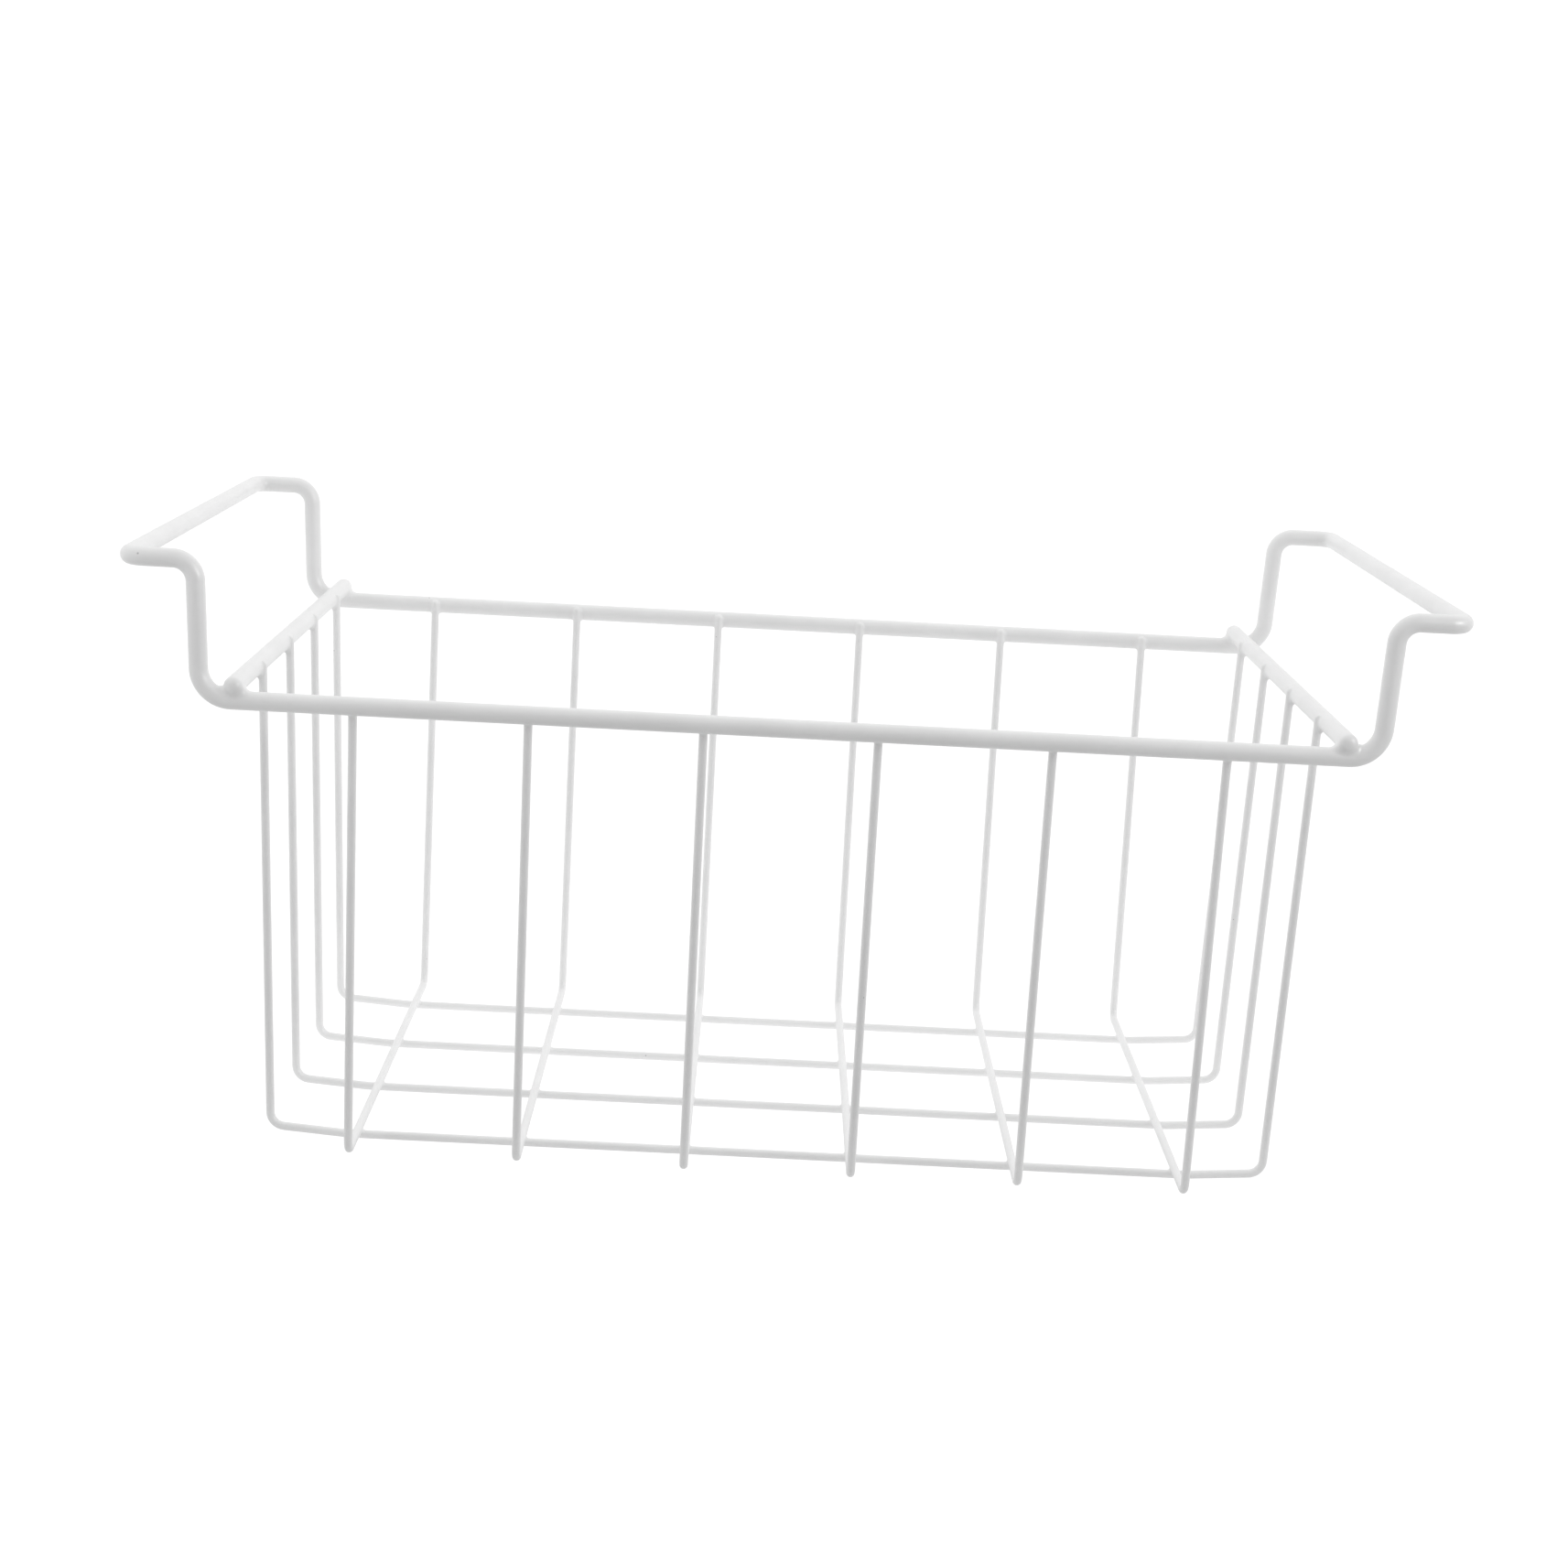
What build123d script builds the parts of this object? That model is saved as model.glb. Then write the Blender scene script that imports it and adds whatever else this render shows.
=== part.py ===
"""Hanging basket for a chest freezer: thirteen round steel wires, welded together and coated.

Millimetres. +X runs along the rails, -Y is the front and +Z is up. The origin is the centre of
the space that the basket takes up on the surface it stands on. Wire sizes are over the coating.
"""

import os

from build123d import *

os.makedirs("parts", exist_ok=True)

# Wires, and how much of a wire's width each rounded edge of its cut ends takes
frame_wire = 6.6
mesh_wire = 3.1
end_round_share = 0.4

# How far each weld sets one coated wire into the other
frame_weld_set = 1.2
side_weld_set = 1.9
floor_weld_set = 0.8

# Rim and handles, between wire centres
rail_length = 406.0
rail_spacing = 230.0
handle_rise = 48.0
riser_lean = 1.8
handle_reach = 23.2
foot_bend = 11.2
shoulder_bend = 7.8
handle_bend = 6.0

# Crossbars: how far in from the risers' feet they lie, and how far past the rails they reach
crossbar_inset = 12.0
crossbar_overhang = 1.6

# Mesh: the transverse wires run front to back, the longitudinal wires left to right. The outer
# ones of each set lie one inset in from the crossbars or the rails, and the rest between them
basket_depth = 165.4
transverse_count = 6
transverse_inset = 40.0
transverse_bend = 4.5
side_taper = 7.45
longitudinal_count = 4
longitudinal_inset = 35.2
longitudinal_bend = 5.5
end_taper = 4.65
mesh_top_rise = 2.4

# The floor runs of the longitudinal wires turn up a little past the outer transverse wires
end_rise = 2.0
end_rise_gap = 4.0
end_rise_bend = 40.0

# Heights of the wire centres above the surface that the basket stands on
longitudinal_z = mesh_wire / 2
transverse_z = longitudinal_z + mesh_wire - floor_weld_set
rail_z = transverse_z + basket_depth
crossbar_z = rail_z + frame_wire - frame_weld_set
handle_z = rail_z + handle_rise

# Places of the wire centres along X and Y
rail_y = rail_spacing / 2
riser_foot_x = rail_length / 2
riser_top_x = riser_foot_x + riser_lean
handle_x = riser_top_x + handle_reach
crossbar_x = riser_foot_x - crossbar_inset
mesh_inset = (frame_wire + mesh_wire) / 2 - side_weld_set


def spread(count, reach):
    """Places of count wires, evenly apart from -reach to reach."""
    return [reach * (2 * index / (count - 1) - 1) for index in range(count)]


def leaned(out, taper, drop, rise):
    """How far out a leaning leg ends, where it is this far out one rise below its end."""
    return out + taper * rise / drop


# Rim: half of the ring, from the middle of one handle bar to the other, and its mirror image
with BuildPart() as rim_frame:
    with BuildLine() as half_ring:
        FilletPolyline(
            (-handle_x, 0, handle_z),
            (-handle_x, -rail_y, handle_z),
            (-riser_top_x, -rail_y, handle_z),
            (-riser_foot_x, -rail_y, rail_z),
            (riser_foot_x, -rail_y, rail_z),
            (riser_top_x, -rail_y, handle_z),
            (handle_x, -rail_y, handle_z),
            (handle_x, 0, handle_z),
            radius=[handle_bend, shoulder_bend, foot_bend, foot_bend, shoulder_bend, handle_bend],
        )
    with BuildSketch(Plane.XZ) as ring_section:
        with Locations((-handle_x, handle_z)):
            Circle(frame_wire / 2)
    sweep(path=half_ring.wire())
    mirror(about=Plane.XZ)

rim_frame.part.label = "rim_frame"
export_step(rim_frame.part, "parts/rim_frame.step")


# Crossbars: straight, rounded at both ends, and seated on the rails
def build_crossbar(label, x):
    length = rail_spacing + frame_wire + 2 * crossbar_overhang
    with BuildPart() as crossbar:
        with BuildSketch(Plane.XZ.offset(-length / 2)):
            with Locations((x, crossbar_z)):
                Circle(frame_wire / 2)
        extrude(amount=length)
        fillet(crossbar.edges().filter_by(GeomType.CIRCLE), radius=frame_wire * end_round_share)
        add(rim_frame.part, mode=Mode.SUBTRACT)
    crossbar.part.label = label
    export_step(crossbar.part, f"parts/{label}.step")
    return crossbar.part


left_crossbar = build_crossbar("left_crossbar", -crossbar_x)
right_crossbar = build_crossbar("right_crossbar", crossbar_x)


# Mesh: a wire bent to a U, with rounded tops and a seat wherever it meets an earlier wire
def build_mesh_wire(label, points, bends, seats):
    with BuildPart() as mesh:
        with BuildLine() as route:
            FilletPolyline(points, radius=bends)
        with BuildSketch(Plane(origin=route.wire() @ 0, z_dir=route.wire() % 0)):
            Circle(mesh_wire / 2)
        sweep(path=route.wire())
        tips = mesh.faces().filter_by(GeomType.PLANE).sort_by(Axis.Z)[-2:]
        fillet(tips.edges(), radius=mesh_wire * end_round_share)
        for seat in seats:
            add(seat, mode=Mode.SUBTRACT)
    mesh.part.label = label
    export_step(mesh.part, f"parts/{label}.step")
    return mesh.part


# Longitudinal wires hang from the crossbars, and their floor runs are the lowest
longitudinal_drop = crossbar_z - longitudinal_z
longitudinal_top_x = leaned(crossbar_x - mesh_inset, end_taper, longitudinal_drop, mesh_top_rise)
longitudinal_foot_x = crossbar_x - mesh_inset - end_taper
longitudinal_corner_x = leaned(longitudinal_foot_x, end_taper, longitudinal_drop, end_rise)
flat_x = crossbar_x - transverse_inset + end_rise_gap
longitudinal_bends = [longitudinal_bend, end_rise_bend, end_rise_bend, longitudinal_bend]
longitudinal_wires = []
longitudinal_places = spread(longitudinal_count, rail_y - longitudinal_inset)
for number, y in enumerate(longitudinal_places, start=1):
    outline = [
        (-longitudinal_top_x, y, crossbar_z + mesh_top_rise),
        (-longitudinal_corner_x, y, longitudinal_z + end_rise),
        (-flat_x, y, longitudinal_z),
        (flat_x, y, longitudinal_z),
        (longitudinal_corner_x, y, longitudinal_z + end_rise),
        (longitudinal_top_x, y, crossbar_z + mesh_top_rise),
    ]
    carriers = [left_crossbar, right_crossbar]
    wire = build_mesh_wire(f"longitudinal_wire_{number}", outline, longitudinal_bends, carriers)
    longitudinal_wires.append(wire)

# Transverse wires hang inside the rails, and their floor runs lie on the longitudinal ones
transverse_top_y = leaned(rail_y - mesh_inset, side_taper, basket_depth, mesh_top_rise)
transverse_foot_y = rail_y - mesh_inset - side_taper
transverse_places = spread(transverse_count, crossbar_x - transverse_inset)
for number, x in enumerate(transverse_places, start=1):
    outline = [
        (x, -transverse_top_y, rail_z + mesh_top_rise),
        (x, -transverse_foot_y, transverse_z),
        (x, transverse_foot_y, transverse_z),
        (x, transverse_top_y, rail_z + mesh_top_rise),
    ]
    carriers = [rim_frame.part, *longitudinal_wires]
    build_mesh_wire(f"transverse_wire_{number}", outline, transverse_bend, carriers)
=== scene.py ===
import math

import bpy
from mathutils import Matrix, Vector, noise


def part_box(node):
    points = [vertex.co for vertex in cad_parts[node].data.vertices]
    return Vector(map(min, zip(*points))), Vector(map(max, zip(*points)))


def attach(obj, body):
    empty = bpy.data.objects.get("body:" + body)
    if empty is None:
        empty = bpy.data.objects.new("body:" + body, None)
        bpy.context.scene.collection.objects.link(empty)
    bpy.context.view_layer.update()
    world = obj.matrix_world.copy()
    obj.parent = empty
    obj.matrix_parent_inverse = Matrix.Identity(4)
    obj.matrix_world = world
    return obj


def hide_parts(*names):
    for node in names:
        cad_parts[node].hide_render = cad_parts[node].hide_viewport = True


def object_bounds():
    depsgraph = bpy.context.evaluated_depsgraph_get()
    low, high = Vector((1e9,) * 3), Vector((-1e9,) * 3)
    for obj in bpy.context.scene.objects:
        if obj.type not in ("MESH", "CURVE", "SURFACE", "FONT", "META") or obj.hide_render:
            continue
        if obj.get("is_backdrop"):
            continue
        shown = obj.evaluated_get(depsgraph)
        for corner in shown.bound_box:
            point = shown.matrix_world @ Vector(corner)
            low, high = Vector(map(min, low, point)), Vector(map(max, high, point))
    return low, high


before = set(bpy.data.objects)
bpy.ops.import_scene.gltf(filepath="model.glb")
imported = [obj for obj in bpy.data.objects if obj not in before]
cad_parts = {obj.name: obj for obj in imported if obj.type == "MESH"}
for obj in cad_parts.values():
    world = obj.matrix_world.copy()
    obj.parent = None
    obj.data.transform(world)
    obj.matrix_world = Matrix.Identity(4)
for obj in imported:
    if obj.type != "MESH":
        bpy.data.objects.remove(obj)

# A freezer basket of coated wire: each wire is a closed tube with its welds' closed collars

for name in ("Cube", "Light", "Camera"):
    left_over = bpy.data.objects.get(name)
    if left_over:
        bpy.data.objects.remove(left_over)

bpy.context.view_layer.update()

MM = 0.001

# Wires, over the coating
FRAME_RADIUS = 3.3 * MM
MESH_RADIUS = 1.55 * MM
FRAME_SIDES = 56
MESH_SIDES = 36
FRAME_EDGE = 2.64 * MM
MESH_EDGE = 1.55 * MM
END_CROWN = 0.12 * MM
RUN_STEP = 2.5 * MM
TURN_STEP = math.radians(4)
DOME_STEPS = 9

# The dipped coating is a little thinner in places, never thicker
COAT_THIN = 0.03 * MM
COAT_WAVES_PER_METRE = 90

# Sizes that the CAD boxes do not give, as in the part's source
FOOT_BEND = 11.2 * MM
SHOULDER_BEND = 7.8 * MM
HANDLE_BEND = 6.0 * MM
TRANSVERSE_BEND = 4.5 * MM
LONGITUDINAL_BEND = 5.5 * MM
END_RISE = 2.0 * MM
END_RISE_GAP = 4.0 * MM
END_RISE_BEND = 40.0 * MM
RISER_FOOT_X = 203.0 * MM
RISER_TOP_X = 204.8 * MM
SIDE_TAPER = 7.45 * MM
END_TAPER = 4.65 * MM
MESH_TOP_RISE = 2.4 * MM
WIRE_OFFSET = 2.95 * MM

# Places of the wire centres, from the CAD boxes
rim_low, rim_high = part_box("rim_frame")
RAIL_Y = rim_high.y - FRAME_RADIUS
HANDLE_X = rim_high.x - FRAME_RADIUS
HANDLE_Z = rim_high.z - FRAME_RADIUS
RAIL_Z = rim_low.z + FRAME_RADIUS
bar_low, bar_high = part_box("right_crossbar")
CROSSBAR_X = (bar_low.x + bar_high.x) / 2
CROSSBAR_Z = bar_high.z - FRAME_RADIUS
CROSSBAR_END = bar_high.y
LONGITUDINAL_Z = MESH_RADIUS
TRANSVERSE_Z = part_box("transverse_wire_1")[0].z + MESH_RADIUS

# Collars of coating at the welds: radius of the hollow at the sides, below or inward, and opposite
RAIL_COLLAR = (1.7 * MM, 1.6 * MM, 1.0 * MM)
CROSSBAR_COLLAR = (2.0 * MM, 1.5 * MM, 0.7 * MM)
FLOOR_COLLAR = (0.7 * MM, 0.9 * MM, 0.9 * MM)
CORNER_COLLAR = (2.0 * MM, 3.0 * MM, 2.0 * MM)
COLLAR_CHANGE = 1.5
COLLAR_UNEVEN = 0.14
COLLAR_TURNS = 56
COLLAR_STEPS = 9
COLLAR_WAVES_PER_METRE = 240
COLLAR_WAVE_REACH = 3 * MM
COLLAR_LAP = 0.25 * MM
COLLAR_SINK = 0.05 * MM
LOCAL_REACH = 16 * MM
FINE_STEP = math.radians(0.5)

# How the ball that shapes a collar is brought to rest on both wires
CLOSEST_ROUNDS = 4
BALL_ROUNDS = 40
BALL_LEAST_OUT = 0.1 * MM
BALL_LONGEST_STEP = 1 * MM
BALL_AT_REST = 1e-8
BALL_MISS = 1e-6


# Routes: lists of places along a wire with the direction it takes there
def arc(before, corner, after, bend, step):
    into = (corner - before).normalized()
    out = (after - corner).normalized()
    angle = into.angle(out)
    start = corner - into * (bend * math.tan(angle / 2))
    side = (out - into * into.dot(out)).normalized()
    parts = max(2, math.ceil(angle / step))
    places = []
    for part in range(parts + 1):
        turn = angle * part / parts
        place = start + bend * (math.sin(turn) * into + (1 - math.cos(turn)) * side)
        places.append((place, math.cos(turn) * into + math.sin(turn) * side))
    return places


def straight(start, end):
    parts = max(1, round((end - start).length / RUN_STEP))
    heading = (end - start).normalized()
    return [(start.lerp(end, part / parts), heading) for part in range(1, parts)]


def open_route(corners, bends, step, trim):
    """Starts and ends short of its outer corners, by the radius of the rounded tips."""
    first = (corners[1] - corners[0]).normalized()
    last = (corners[-1] - corners[-2]).normalized()
    places = [(corners[0] + first * trim, first)]
    for i in range(1, len(corners) - 1):
        bent = arc(corners[i - 1], corners[i], corners[i + 1], bends[i - 1], step)
        places += straight(places[-1][0], bent[0][0]) + bent
    end = corners[-1] - last * trim
    return places + straight(places[-1][0], end) + [(end, last)]


def closed_route(corners, bends, step):
    count = len(corners)
    turns = []
    for i in range(count):
        turns.append(arc(corners[i - 1], corners[i], corners[(i + 1) % count], bends[i], step))
    places = []
    for i in range(count):
        places += turns[i] + straight(turns[i][-1][0], turns[(i + 1) % count][0][0])
    return places


class Shell:
    """Mesh data of one piece, with a normal for each corner of its collars."""

    def __init__(self):
        self.points = []
        self.faces = []
        self.normals = []

    def add(self, points, faces, normals=None):
        first = len(self.points)
        self.points += points
        for number, face in enumerate(faces):
            self.faces.append([first + index for index in face])
            if normals is None or normals[number] is None:
                self.normals += [Vector((0, 0, 0))] * len(face)
            else:
                self.normals += normals[number]

    def piece(self, name, node, material):
        mesh = bpy.data.meshes.new(name)
        mesh.from_pydata(self.points, [], self.faces)
        mesh.polygons.foreach_set("use_smooth", [True] * len(mesh.polygons))
        mesh.normals_split_custom_set(self.normals)
        mesh.materials.append(material)
        wire = bpy.data.objects.new(name, mesh)
        bpy.context.scene.collection.objects.link(wire)
        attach(wire, "root")
        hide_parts(node)
        return wire


def coated(place, outward):
    """A point of the surface, set back where the coating is thinner."""
    thin = 0.5 + 0.5 * noise.noise(place * COAT_WAVES_PER_METRE)
    return place - outward * (COAT_THIN * min(1, max(0, thin)))


def ring_quads(first, second, sides):
    quads = []
    for i in range(sides):
        j = (i + 1) % sides
        quads.append([first + i, first + j, second + j, second + i])
    return quads


def frames(route, closed):
    """A direction across the wire at each place, carried along without twist."""
    across = route[0][1].orthogonal().normalized()
    result = [across]
    for (_, before), (_, after) in zip(route, route[1:]):
        across = before.rotation_difference(after) @ across
        across = (across - after * across.dot(after)).normalized()
        result.append(across)
    if closed:
        carried = route[-1][1].rotation_difference(route[0][1]) @ across
        heading = route[0][1]
        twist = math.atan2(heading.dot(carried.cross(result[0])), carried.dot(result[0]))
        for i, (_, heading) in enumerate(route):
            result[i] = Matrix.Rotation(twist * i / len(route), 3, heading) @ result[i]
    return result


def tube(shell, route, radius, edge, sides, closed=False):
    """A wire whose ends are flat in the middle and rounded over this much of their edge."""
    core = radius - edge
    rings = []
    for (place, heading), across in zip(route, frames(route, closed)):
        up = heading.cross(across)
        rings.append((place, heading, across, up, 0.0))
    if not closed:
        start = rings[0]
        end = rings[-1]
        last_tilt = DOME_STEPS + 1 if core else DOME_STEPS
        tilts = [math.pi / 2 * step / DOME_STEPS for step in range(1, last_tilt)]
        rings = [start[:4] + (-tilt,) for tilt in reversed(tilts)] + rings
        rings += [end[:4] + (tilt,) for tilt in tilts]
    points = []
    for place, heading, across, up, tilt in rings:
        for i in range(sides):
            turn = 2 * math.pi * i / sides
            radial = math.cos(turn) * across + math.sin(turn) * up
            outward = math.cos(tilt) * radial + math.sin(tilt) * heading
            points.append(coated(place + radial * core + outward * edge, outward))
    faces = []
    for number in range(len(rings) - 1):
        faces += ring_quads(number * sides, (number + 1) * sides, sides)
    last = (len(rings) - 1) * sides
    if closed:
        faces += ring_quads(last, 0, sides)
    else:
        for (place, heading, *_), sign, first in ((rings[0], -1, 0), (rings[-1], 1, last)):
            pole = len(points)
            points.append(coated(place + heading * (sign * edge), heading * sign))
            if core:
                points[-1] += heading * (sign * END_CROWN)
            for i in range(sides):
                pair = [first + i, first + (i + 1) % sides]
                faces.append([pole] + (pair[::-1] if sign < 0 else pair))
    shell.add(points, faces)


# Collars: a ball that rolls round a weld touches both wires, and its hollow is the coating
def nearest(wire, target):
    """The nearest place in a wire's core, which its rounded edge surrounds on all sides."""
    places, core, _ = wire
    best = None
    for start, end in zip(places, places[1:]):
        run = end - start
        share = min(1, max(0, (target - start).dot(run) / run.length_squared))
        place = start + run * share
        gap = (target - place).length_squared
        if best is None or gap < best[0]:
            best = (gap, place, run)
    _, place, run = best
    if not core:
        return place
    heading = run.normalized()
    across = target - place
    across -= heading * across.dot(heading)
    return place + across * min(1, core / across.length)


def near(route, radius, edge, target):
    """The stretch of a wire that passes within reach of a weld."""
    places = [place for place, _ in route if (place - target).length < LOCAL_REACH]
    return (places, radius - edge, edge)


def rest_ball(middle, across, up, wire_a, wire_b, ball):
    """Where a ball rests on both wires, out from the middle of a weld: Newton's method."""
    out = (sum(wire_a[1:]) + sum(wire_b[1:])) / 2 + ball
    rise = 0.0
    for _ in range(BALL_ROUNDS):
        centre = middle + across * out + up * rise
        misses = []
        slopes = []
        for wire in (wire_a, wire_b):
            spoke = centre - nearest(wire, centre)
            misses.append(spoke.length - wire[2] - ball)
            spoke.normalize()
            slopes.append((spoke.dot(across), spoke.dot(up)))
        (a, b), (c, d) = slopes
        whole = a * d - b * c
        step_out = (misses[0] * d - misses[1] * b) / whole
        step_rise = (misses[1] * a - misses[0] * c) / whole
        size = math.hypot(step_out, step_rise)
        ease = min(1, BALL_LONGEST_STEP / size) if size else 1
        out = max(BALL_LEAST_OUT, out - step_out * ease)
        rise -= step_rise * ease
        if size < BALL_AT_REST:
            break
    if abs(misses[0]) + abs(misses[1]) > BALL_MISS:
        raise ValueError("a collar does not close")
    return centre


def collar(shell, first_wire, second_wire, target, sizes, toward):
    """The coating that bridges two wires, with its own size toward and away from one side."""
    wire_a = near(*first_wire, target)
    wire_b = near(*second_wire, target)
    on_b = nearest((wire_b[0], 0, 0), target)
    for _ in range(CLOSEST_ROUNDS):
        on_a = nearest((wire_a[0], 0, 0), on_b)
        on_b = nearest((wire_b[0], 0, 0), on_a)
    up = (on_b - on_a).normalized()
    middle = (on_a + up * sum(wire_a[1:]) + on_b - up * sum(wire_b[1:])) / 2
    first = up.orthogonal().normalized()
    second = up.cross(first)
    at_side, at_toward, at_away = sizes
    points = []
    spokes = []
    for number in range(COLLAR_TURNS):
        turn = 2 * math.pi * number / COLLAR_TURNS
        across = math.cos(turn) * first + math.sin(turn) * second
        lean = across.dot(toward)
        at_end = at_toward if lean > 0 else at_away
        ball = at_side + (at_end - at_side) * abs(lean) ** COLLAR_CHANGE
        sample = middle + across * COLLAR_WAVE_REACH
        ball *= 1 + COLLAR_UNEVEN * noise.noise(sample * COLLAR_WAVES_PER_METRE)
        centre = rest_ball(middle, across, up, wire_a, wire_b, ball)
        to_a = (nearest(wire_a, centre) - centre).normalized()
        to_b = (nearest(wire_b, centre) - centre).normalized()
        bend = to_a.angle(to_b)
        from_a = (to_b - to_a * to_a.dot(to_b)).normalized()
        line = []
        for step in range(COLLAR_STEPS + 1):
            tilt = bend * step / COLLAR_STEPS
            spoke = math.cos(tilt) * to_a + math.sin(tilt) * from_a
            line.append((centre + spoke * ball, -spoke))
        from_b = (to_b * to_a.dot(to_b) - to_a).normalized()
        lap_a = centre + to_a * (ball + COLLAR_SINK) - from_a * COLLAR_LAP
        lap_b = centre + to_b * (ball + COLLAR_SINK) + from_b * COLLAR_LAP
        line = [(lap_a, -to_a)] + line + [(lap_b, -to_b)]
        points += [place for place, _ in line]
        spokes += [outward for _, outward in line]
    width = COLLAR_STEPS + 3
    faces = []
    normals = []
    for i in range(COLLAR_TURNS):
        j = (i + 1) % COLLAR_TURNS
        for k in range(width - 1):
            face = [i * width + k, j * width + k, j * width + k + 1, i * width + k + 1]
            faces.append(face)
            normals.append([spokes[index] for index in face])
    pole_a = len(points)
    points.append(on_a - up * (0.5 * sum(wire_a[1:])))
    points.append(on_b + up * (0.5 * sum(wire_b[1:])))
    for i in range(COLLAR_TURNS):
        j = (i + 1) % COLLAR_TURNS
        faces.append([j * width, i * width, pole_a])
        faces.append([i * width + width - 1, j * width + width - 1, pole_a + 1])
        normals += [None, None]
    shell.add(points, faces, normals)


# The coating: satin white polyethylene, slightly uneven in tone and gloss, with a fine ripple
COAT_TONE = 0.86
THIN_TONE = COAT_TONE * 0.96
MOTTLED_TONE = COAT_TONE * 0.975
PIT_TONE = COAT_TONE * 0.5
CLOUD_SCALE = 45
MOTTLE_SCALE = 420
MOTTLE_SHARE = 0.8
HOLE_SCALE = 260
HOLE_CORE = 0.05
HOLE_RIM = 0.075
HOLES_START = 0.955
HOLES_END = 0.965
GLOSS_SCALE = 160
ROUGHNESS_LOW = 0.32
ROUGHNESS_HIGH = 0.46
REFRACTION = 1.5
SPECULAR = 0.32
RIPPLE_SCALE = 620
RIPPLE_DEPTH = 0.03 * MM
RIPPLE_STRENGTH = 0.5
GRAIN_SCALE = 2600
GRAIN_DEPTH = 0.008 * MM
GRAIN_STRENGTH = 0.35
PIT_DEPTH = 0.05 * MM
PIT_STRENGTH = 0.8
PIT_CORE = 0.3 * MM
PIT_RIM = 0.6 * MM


def grey(tone):
    return (tone, tone, tone, 1)


def coating(name, seed, pit=None):
    material = bpy.data.materials.new(name)
    material.use_nodes = True
    nodes = material.node_tree.nodes
    links = material.node_tree.links
    shader = nodes["Principled BSDF"]
    place = nodes.new("ShaderNodeTexCoord")
    shift = nodes.new("ShaderNodeMapping")
    shift.inputs["Location"].default_value = (seed, 0.0, 0.0)
    links.new(place.outputs["Object"], shift.inputs["Vector"])

    def noise_node(scale, detail):
        node = nodes.new("ShaderNodeTexNoise")
        node.inputs["Scale"].default_value = scale
        node.inputs["Detail"].default_value = detail
        links.new(shift.outputs["Vector"], node.inputs["Vector"])
        return node.outputs["Fac"]

    def remap(source, low, high, new_low, new_high):
        node = nodes.new("ShaderNodeMapRange")
        node.inputs["From Min"].default_value = low
        node.inputs["From Max"].default_value = high
        node.inputs["To Min"].default_value = new_low
        node.inputs["To Max"].default_value = new_high
        links.new(source, node.inputs["Value"])
        return node.outputs["Result"]

    def blend(fac, first, second):
        node = nodes.new("ShaderNodeMix")
        node.data_type = "RGBA"
        sockets = (node.inputs["Factor"], node.inputs[6], node.inputs[7])
        for socket, value in zip(sockets, (fac, first, second)):
            if isinstance(value, bpy.types.NodeSocket):
                links.new(value, socket)
            else:
                socket.default_value = value
        return node.outputs[2]

    def bump(strength, depth, height, below=None):
        node = nodes.new("ShaderNodeBump")
        node.inputs["Strength"].default_value = strength
        node.inputs["Distance"].default_value = depth
        links.new(height, node.inputs["Height"])
        if below:
            links.new(below.outputs["Normal"], node.inputs["Normal"])
        return node

    # Tone: broad clouds where the coat is thinner, and faint mottling
    clouds = remap(noise_node(CLOUD_SCALE, 3), 0.35, 0.68, 0, 1)
    mottles = remap(noise_node(MOTTLE_SCALE, 2), 0.52, 0.72, 0, MOTTLE_SHARE)
    colour = blend(clouds, grey(COAT_TONE), grey(THIN_TONE))
    colour = blend(mottles, colour, grey(MOTTLED_TONE))

    # Pinholes: a few sparse cells of a fine cell pattern
    cells = nodes.new("ShaderNodeTexVoronoi")
    cells.inputs["Scale"].default_value = HOLE_SCALE
    links.new(shift.outputs["Vector"], cells.inputs["Vector"])
    hole = remap(cells.outputs["Distance"], HOLE_CORE, HOLE_RIM, 1, 0)
    pick = nodes.new("ShaderNodeSeparateColor")
    links.new(cells.outputs["Color"], pick.inputs["Color"])
    rare = remap(pick.outputs["Red"], HOLES_START, HOLES_END, 0, 1)
    holes = nodes.new("ShaderNodeMath")
    holes.operation = "MULTIPLY"
    links.new(hole, holes.inputs[0])
    links.new(rare, holes.inputs[1])
    pitted = holes.outputs["Value"]
    if pit:
        gap = nodes.new("ShaderNodeVectorMath")
        gap.operation = "DISTANCE"
        gap.inputs[1].default_value = pit
        links.new(place.outputs["Object"], gap.inputs[0])
        both = nodes.new("ShaderNodeMath")
        both.operation = "MAXIMUM"
        links.new(pitted, both.inputs[0])
        links.new(remap(gap.outputs["Value"], PIT_CORE, PIT_RIM, 1, 0), both.inputs[1])
        pitted = both.outputs["Value"]
    colour = blend(pitted, colour, grey(PIT_TONE))
    links.new(colour, shader.inputs["Base Color"])

    # Gloss: satin, duller in places at random
    gloss = remap(noise_node(GLOSS_SCALE, 3), 0.3, 0.7, ROUGHNESS_LOW, ROUGHNESS_HIGH)
    links.new(gloss, shader.inputs["Roughness"])
    shader.inputs["IOR"].default_value = REFRACTION
    shader.inputs["Specular IOR Level"].default_value = SPECULAR

    # Relief: orange peel, and the pinholes pressed in
    ripple = bump(RIPPLE_STRENGTH, RIPPLE_DEPTH, noise_node(RIPPLE_SCALE, 2))
    grain = bump(GRAIN_STRENGTH, GRAIN_DEPTH, noise_node(GRAIN_SCALE, 1), ripple)
    pits = bump(PIT_STRENGTH, PIT_DEPTH, pitted, grain)
    pits.invert = True
    links.new(pits.outputs["Normal"], shader.inputs["Normal"])
    return material


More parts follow.
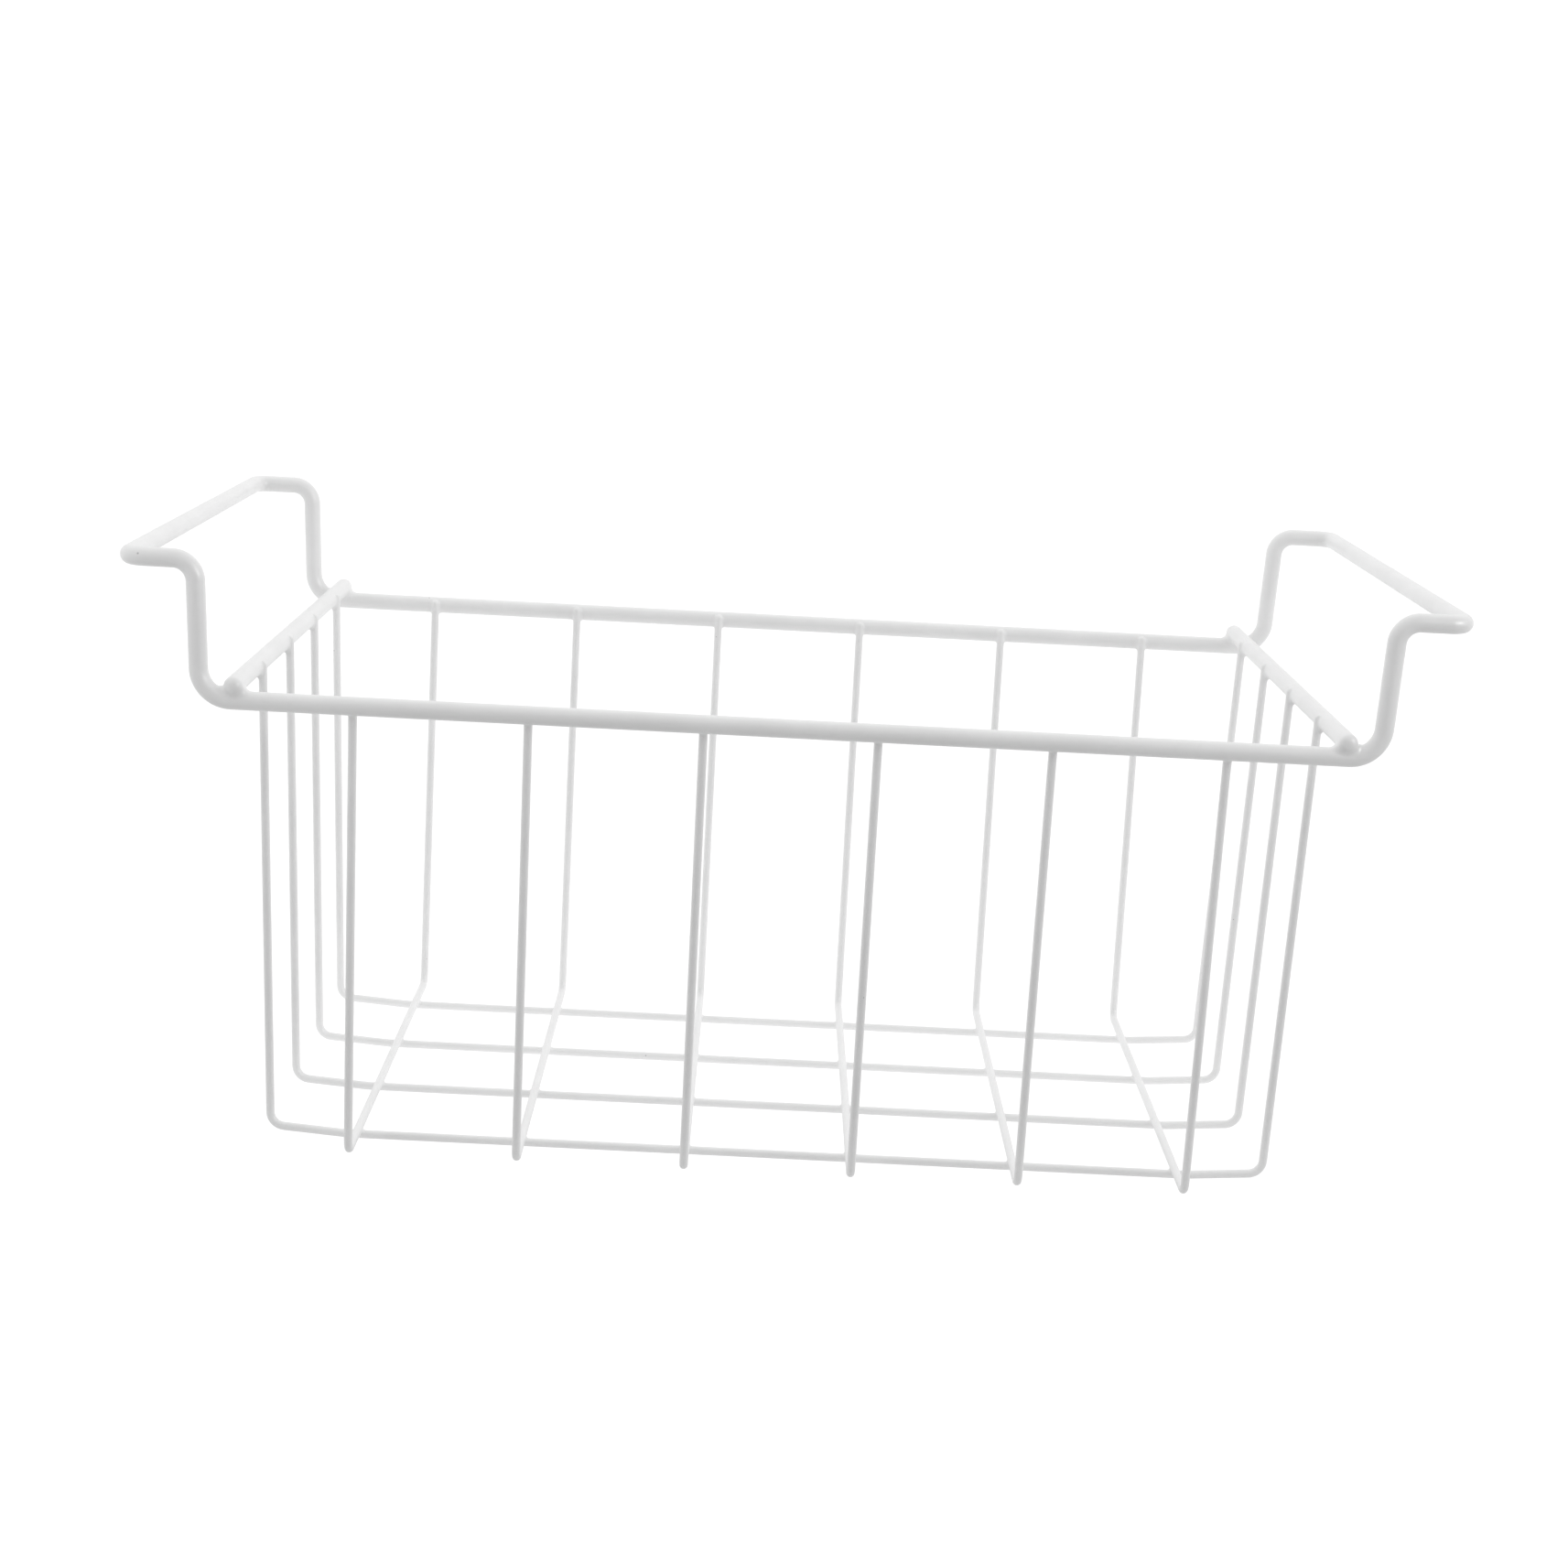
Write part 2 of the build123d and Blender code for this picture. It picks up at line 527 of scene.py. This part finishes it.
# The largest pinhole is on the front run of the left handle
LARGEST_PIT = (-223.4 * MM, -118.2 * MM, 218.7 * MM)
frame_coat = coating("coated_frame_wire", 0.0, LARGEST_PIT)
mesh_coat = coating("coated_mesh_wire", 3.7)

# Rim: one closed ring of thick wire
ring_corners = []
for end in (-1, 1):
    half = []
    half.append(Vector((end * HANDLE_X, end * RAIL_Y, HANDLE_Z)))
    half.append(Vector((end * RISER_TOP_X, end * RAIL_Y, HANDLE_Z)))
    half.append(Vector((end * RISER_FOOT_X, end * RAIL_Y, RAIL_Z)))
    half.append(Vector((-end * RISER_FOOT_X, end * RAIL_Y, RAIL_Z)))
    half.append(Vector((-end * RISER_TOP_X, end * RAIL_Y, HANDLE_Z)))
    half.append(Vector((-end * HANDLE_X, end * RAIL_Y, HANDLE_Z)))
    ring_corners += half
ring_bends = [HANDLE_BEND, SHOULDER_BEND, FOOT_BEND, FOOT_BEND, SHOULDER_BEND, HANDLE_BEND] * 2
ring = closed_route(ring_corners, ring_bends, TURN_STEP)
ring_fine = closed_route(ring_corners, ring_bends, FINE_STEP)
shell = Shell()
rim_wire = (ring_fine, FRAME_RADIUS, FRAME_RADIUS)
tube(shell, ring, FRAME_RADIUS, FRAME_RADIUS, FRAME_SIDES, closed=True)
shell.piece("coated_rim", "rim_frame", frame_coat)

# Crossbars: straight, with round ends, welded on top of both rails
crossbars = {}
for side, sign in (("left", -1), ("right", 1)):
    x = sign * CROSSBAR_X
    ends = [Vector((x, -CROSSBAR_END, CROSSBAR_Z)), Vector((x, CROSSBAR_END, CROSSBAR_Z))]
    bar = open_route(ends, [], TURN_STEP, FRAME_EDGE + END_CROWN)
    crossbars[sign] = (bar, FRAME_RADIUS, FRAME_EDGE)
    shell = Shell()
    tube(shell, *crossbars[sign], FRAME_SIDES)
    for y in (-RAIL_Y, RAIL_Y):
        target = Vector((x, y, (RAIL_Z + CROSSBAR_Z) / 2))
        inward = Vector((-sign, 0, 0))
        collar(shell, rim_wire, crossbars[sign], target, CORNER_COLLAR, inward)
    name = f"{side}_crossbar"
    shell.piece(f"coated_{name}", name, frame_coat)

# Longitudinal wires: a U each, hung from the inner sides of the crossbars
DOWN = Vector((0, 0, -1))
floor_wires = {}
top_x = CROSSBAR_X - WIRE_OFFSET
lean = END_TAPER / (CROSSBAR_Z - LONGITUDINAL_Z)
corner_x = top_x - END_TAPER + lean * END_RISE
top_x += lean * MESH_TOP_RISE
low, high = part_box("transverse_wire_6")
flat_x = (low.x + high.x) / 2 + END_RISE_GAP
bends = [LONGITUDINAL_BEND, END_RISE_BEND, END_RISE_BEND, LONGITUDINAL_BEND]
for number in range(1, 5):
    node = f"longitudinal_wire_{number}"
    low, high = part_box(node)
    y = (low.y + high.y) / 2
    corners = [
        Vector((-top_x, y, CROSSBAR_Z + MESH_TOP_RISE)),
        Vector((-corner_x, y, LONGITUDINAL_Z + END_RISE)),
        Vector((-flat_x, y, LONGITUDINAL_Z)),
        Vector((flat_x, y, LONGITUDINAL_Z)),
        Vector((corner_x, y, LONGITUDINAL_Z + END_RISE)),
        Vector((top_x, y, CROSSBAR_Z + MESH_TOP_RISE)),
    ]
    wire = (open_route(corners, bends, TURN_STEP, MESH_EDGE), MESH_RADIUS, MESH_EDGE)
    floor_wires[y] = wire
    shell = Shell()
    tube(shell, *wire, MESH_SIDES)
    for sign in (-1, 1):
        target = Vector((sign * (CROSSBAR_X - FRAME_RADIUS), y, CROSSBAR_Z))
        collar(shell, crossbars[sign], wire, target, CROSSBAR_COLLAR, DOWN)
    shell.piece(f"coated_{node}", node, mesh_coat)

# Transverse wires: hung from the inner sides of the rails, and welded to the floor wires
top_y = RAIL_Y - WIRE_OFFSET
foot_y = top_y - SIDE_TAPER
top_y += SIDE_TAPER * MESH_TOP_RISE / (RAIL_Z - TRANSVERSE_Z)
bends = [TRANSVERSE_BEND, TRANSVERSE_BEND]
for number in range(1, 7):
    node = f"transverse_wire_{number}"
    low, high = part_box(node)
    x = (low.x + high.x) / 2
    corners = [
        Vector((x, -top_y, RAIL_Z + MESH_TOP_RISE)),
        Vector((x, -foot_y, TRANSVERSE_Z)),
        Vector((x, foot_y, TRANSVERSE_Z)),
        Vector((x, top_y, RAIL_Z + MESH_TOP_RISE)),
    ]
    wire = (open_route(corners, bends, TURN_STEP, MESH_EDGE), MESH_RADIUS, MESH_EDGE)
    shell = Shell()
    tube(shell, *wire, MESH_SIDES)
    for sign in (-1, 1):
        target = Vector((x, sign * (RAIL_Y - FRAME_RADIUS), RAIL_Z))
        collar(shell, rim_wire, wire, target, RAIL_COLLAR, DOWN)
    for y, floor_wire in floor_wires.items():
        target = Vector((x, y, (LONGITUDINAL_Z + TRANSVERSE_Z) / 2))
        collar(shell, floor_wire, wire, target, FLOOR_COLLAR, Vector((1, 0, 0)))
    shell.piece(f"coated_{node}", node, mesh_coat)

# Studio, as seen by the camera: the floor glows white, a painted pool of light, under and behind
# the basket, and pale grey further out on other sides; the sky seen beyond glows in the same tones
# by direction
SEEN_GLOW_BRIGHT = 1.1
SEEN_GLOW_DIM = 0.6
POOL_START = 0.45
POOL_END = 1.3
TURN_START = 0.6
TURN_END = 0.88


def panel(name, corners):
    mesh = bpy.data.meshes.new(name)
    mesh.from_pydata(corners, [], [[0, 1, 2, 3]])
    sheet = bpy.data.objects.new(name, mesh)
    bpy.context.scene.collection.objects.link(sheet)
    return sheet


def eased(tree, source, start, end, low, high):
    node = tree.nodes.new("ShaderNodeMapRange")
    node.interpolation_type = "SMOOTHSTEP"
    node.inputs["From Min"].default_value = start
    node.inputs["From Max"].default_value = end
    for socket, value in ((node.inputs["To Min"], low), (node.inputs["To Max"], high)):
        if isinstance(value, bpy.types.NodeSocket):
            tree.links.new(value, socket)
        else:
            socket.default_value = value
    tree.links.new(source, node.inputs["Value"])
    return node.outputs["Result"]


def seen_glow(tree, place):
    """The painted glow in a level direction from the middle, and the level distance."""
    level = tree.nodes.new("ShaderNodeVectorMath")
    level.operation = "MULTIPLY"
    level.inputs[1].default_value = (1, 1, 0)
    tree.links.new(place, level.inputs[0])
    unit = tree.nodes.new("ShaderNodeVectorMath")
    unit.operation = "NORMALIZE"
    tree.links.new(level.outputs["Vector"], unit.inputs[0])
    split = tree.nodes.new("ShaderNodeSeparateXYZ")
    tree.links.new(unit.outputs["Vector"], split.inputs["Vector"])
    length = tree.nodes.new("ShaderNodeVectorMath")
    length.operation = "LENGTH"
    tree.links.new(level.outputs["Vector"], length.inputs[0])
    tone = eased(tree, split.outputs["Y"], TURN_START, TURN_END, SEEN_GLOW_DIM, SEEN_GLOW_BRIGHT)
    return tone, length.outputs["Value"]


# Floor: its light on the wires changes with the depth, in the middle and out to the sides
FLOOR_HALF = 25.0
FLOOR_DROP = 0.2 * MM
corners = [(-FLOOR_HALF, -FLOOR_HALF, 0), (FLOOR_HALF, -FLOOR_HALF, 0)]
corners += [(FLOOR_HALF, FLOOR_HALF, 0), (-FLOOR_HALF, FLOOR_HALF, 0)]
floor = panel("studio_floor", corners)
floor.location.z = -FLOOR_DROP
floor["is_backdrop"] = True

FLOOR_LIGHT = (
    (-1.1, 0.94),
    (-0.75, 0.64),
    (-0.4, 0.4),
    (-0.25, 0.36),
    (-0.16, 0.5),
    (-0.08, 0.8),
    (0.03, 1.05),
    (0.2, 1.05),
)
ASIDE_LIGHT = (
    (-1.1, 1.3),
    (-0.75, 1.14),
    (-0.4, 0.9),
    (-0.25, 0.74),
    (-0.16, 0.66),
    (-0.08, 0.68),
    (0.03, 0.82),
    (0.2, 1.05),
)
FLOOR_START = -1.2
FLOOR_END = 0.3
ASIDE_START = 0.12
ASIDE_END = 0.5
sheet = bpy.data.materials.new("studio_floor")
sheet.use_nodes = True
tree = sheet.node_tree
tree.nodes.clear()
output = tree.nodes.new("ShaderNodeOutputMaterial")
place = tree.nodes.new("ShaderNodeTexCoord")
split = tree.nodes.new("ShaderNodeSeparateXYZ")
tree.links.new(place.outputs["Object"], split.inputs["Vector"])
depth = tree.nodes.new("ShaderNodeMapRange")
depth.inputs["From Min"].default_value = FLOOR_START
depth.inputs["From Max"].default_value = FLOOR_END
tree.links.new(split.outputs["Y"], depth.inputs["Value"])
ramps = []
for lights in (FLOOR_LIGHT, ASIDE_LIGHT):
    ramp = tree.nodes.new("ShaderNodeValToRGB")
    stops = ramp.color_ramp.elements
    while len(stops) < len(lights):
        stops.new(0.5)
    for stop, (y, light) in zip(stops, lights):
        stop.position = (y - FLOOR_START) / (FLOOR_END - FLOOR_START)
        stop.color = grey(light)
    tree.links.new(depth.outputs["Result"], ramp.inputs["Fac"])
    ramps.append(ramp)
width = tree.nodes.new("ShaderNodeMath")
width.operation = "ABSOLUTE"
tree.links.new(split.outputs["X"], width.inputs[0])
lit = tree.nodes.new("ShaderNodeMix")
lit.data_type = "RGBA"
far_aside = eased(tree, width.outputs["Value"], ASIDE_START, ASIDE_END, 0, 1)
tree.links.new(far_aside, lit.inputs["Factor"])
tree.links.new(ramps[0].outputs["Color"], lit.inputs[6])
tree.links.new(ramps[1].outputs["Color"], lit.inputs[7])
glow = tree.nodes.new("ShaderNodeEmission")
tree.links.new(lit.outputs[2], glow.inputs["Color"])
# Seen by the camera, the floor glows: a painted pool of white light round the basket, fading to
# grey further out
far_glow, distance = seen_glow(tree, place.outputs["Object"])
pool_glow = tree.nodes.new("ShaderNodeEmission")
painted_pool_light = eased(tree, distance, POOL_START, POOL_END, SEEN_GLOW_BRIGHT, far_glow)
tree.links.new(painted_pool_light, pool_glow.inputs["Strength"])
ray = tree.nodes.new("ShaderNodeLightPath")
switch = tree.nodes.new("ShaderNodeMixShader")
tree.links.new(ray.outputs["Is Camera Ray"], switch.inputs["Fac"])
tree.links.new(glow.outputs["Emission"], switch.inputs[1])
tree.links.new(pool_glow.outputs["Emission"], switch.inputs[2])
tree.links.new(switch.outputs["Shader"], output.inputs["Surface"])
floor.data.materials.append(sheet)

# A black flag behind the camera, out of its sight, keeps light off the wires' front
FLAG_Y = -1.1
FLAG_HALF = 0.6
FLAG_HEIGHT = 0.8
FLAG_TONE = 0.05
corners = [(-FLAG_HALF, FLAG_Y, 0), (FLAG_HALF, FLAG_Y, 0)]
corners += [(FLAG_HALF, FLAG_Y, FLAG_HEIGHT), (-FLAG_HALF, FLAG_Y, FLAG_HEIGHT)]
flag = panel("studio_flag", corners)
flag.visible_camera = False
flag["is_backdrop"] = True
felt = bpy.data.materials.new("studio_flag")
felt.use_nodes = True
felt_shader = felt.node_tree.nodes["Principled BSDF"]
felt_shader.inputs["Base Color"].default_value = grey(FLAG_TONE)
felt_shader.inputs["Roughness"].default_value = 1
flag.data.materials.append(felt)

# Light from all round: dimmer on the left and behind, and overhead towards the front
RIGHT_LIGHT = 1.2
LEFT_LIGHT = 0.98
LEFT_FULL = -0.9
LEFT_START = -0.2
BACK_LIGHT = 0.95
BACK_START = 0.2
BACK_FULL = 0.8
TOP_FRONT_LIGHT = 0.82
TOP_BACK_LIGHT = 1.2
TOP_FRONT_FULL = -0.5
TOP_BACK_FULL = 0.2
TOP_START = 0.42
TOP_FULL = 0.75
world = bpy.data.worlds.new("studio")
world.use_nodes = True
bpy.context.scene.world = world
tree = world.node_tree
back = tree.nodes["Background"]
place = tree.nodes.new("ShaderNodeTexCoord")
split = tree.nodes.new("ShaderNodeSeparateXYZ")
tree.links.new(place.outputs["Generated"], split.inputs["Vector"])
depth = split.outputs["Y"]
aside = eased(tree, split.outputs["X"], LEFT_FULL, LEFT_START, LEFT_LIGHT, RIGHT_LIGHT)
level = eased(tree, depth, BACK_START, BACK_FULL, aside, BACK_LIGHT)
overhead = eased(tree, depth, TOP_FRONT_FULL, TOP_BACK_FULL, TOP_FRONT_LIGHT, TOP_BACK_LIGHT)
light = eased(tree, split.outputs["Z"], TOP_START, TOP_FULL, level, overhead)
# The camera sees the sky glow grey towards the front and white behind, not the light it gives the
# wires
tone, _ = seen_glow(tree, place.outputs["Generated"])
ray = tree.nodes.new("ShaderNodeLightPath")
strength = eased(tree, ray.outputs["Is Camera Ray"], 0, 1, light, tone)
tree.links.new(strength, back.inputs["Strength"])
back.inputs["Color"].default_value = (1, 1, 1, 1)

# A low wide soft box at the front right, seen only as a gloss on the bends
GLOSS_PLACE = Vector((0.92, -0.74, 0.6))
GLOSS_AIM = Vector((0, 0, 0.1))
GLOSS_WIDTH = 0.6
GLOSS_HEIGHT = 0.3
GLOSS_POWER = 14.0
gloss_data = bpy.data.lights.new("gloss_light", "AREA")
gloss_data.shape = "RECTANGLE"
gloss_data.size = GLOSS_WIDTH
gloss_data.size_y = GLOSS_HEIGHT
gloss_data.energy = GLOSS_POWER
gloss_light = bpy.data.objects.new("gloss_light", gloss_data)
gloss_light.location = GLOSS_PLACE
gloss_light.rotation_euler = (GLOSS_AIM - GLOSS_PLACE).to_track_quat("-Z", "Y").to_euler()
gloss_light.visible_camera = False
gloss_light.visible_diffuse = False
bpy.context.scene.collection.objects.link(gloss_light)

# Camera, as the photograph was taken
CAMERA_PLACE = (-0.01346, -1.00547, 0.34772)
CAMERA_TURN = (math.radians(77.451), math.radians(-3.026), math.radians(-0.092))
CAMERA_LENS = 60.73
CAMERA_NEAREST = 0.05
CAMERA_FARTHEST = 60
camera_data = bpy.data.cameras.new("camera")
camera_data.sensor_width = 36
camera_data.lens = CAMERA_LENS
camera_data.clip_start = CAMERA_NEAREST
camera_data.clip_end = CAMERA_FARTHEST
camera = bpy.data.objects.new("camera", camera_data)
camera.location = CAMERA_PLACE
camera.rotation_euler = CAMERA_TURN
bpy.context.scene.collection.objects.link(camera)
bpy.context.scene.camera = camera

scene = bpy.context.scene
scene.view_settings.view_transform = "Standard"
scene.view_settings.look = "None"
scene.view_settings.exposure = 0
scene.view_settings.gamma = 1
scene.cycles.use_denoising = True

low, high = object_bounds()
